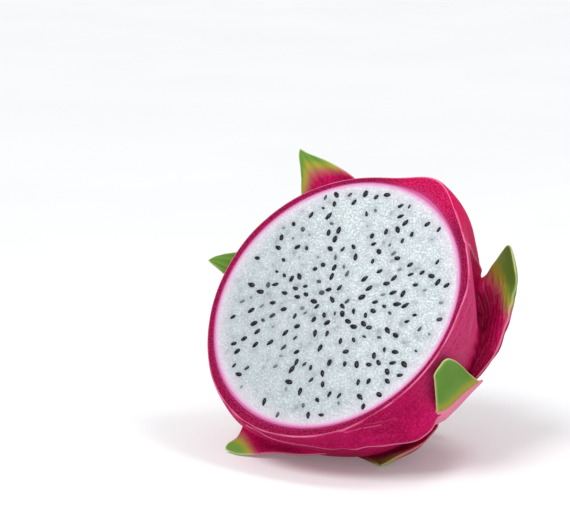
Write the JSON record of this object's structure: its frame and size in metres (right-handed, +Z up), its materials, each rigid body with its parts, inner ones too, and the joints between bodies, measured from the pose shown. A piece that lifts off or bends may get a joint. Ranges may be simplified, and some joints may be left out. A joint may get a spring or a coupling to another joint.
{
  "type": "halved dragon fruit",
  "caption": "Crosswise half of a dragon fruit lying on its rounded side, with a scaly pink rind, white seeded flesh on the cut face and a short stalk stub.",
  "frame": {"origin": "centre of the bounding box on the surface that the half rests on", "axes": "+Z up; the cut face looks up and towards -Y, turned towards -X; the stem end points down and away to +Y and +X"},
  "size_m": [0.1005, 0.0942, 0.092],
  "materials": {
    "rind": "satin fruit skin, magenta with a waxy sheen, bracts turning green to their tips",
    "flesh": "satin, moist, translucent white fruit flesh with small glossy black seeds",
    "stalk": "matte, dry, fibrous olive brown stub"
  },
  "bodies": {
    "root": {"rind": "rind", "flesh": "flesh", "stalk": "stalk"}
  },
  "joints": []
}
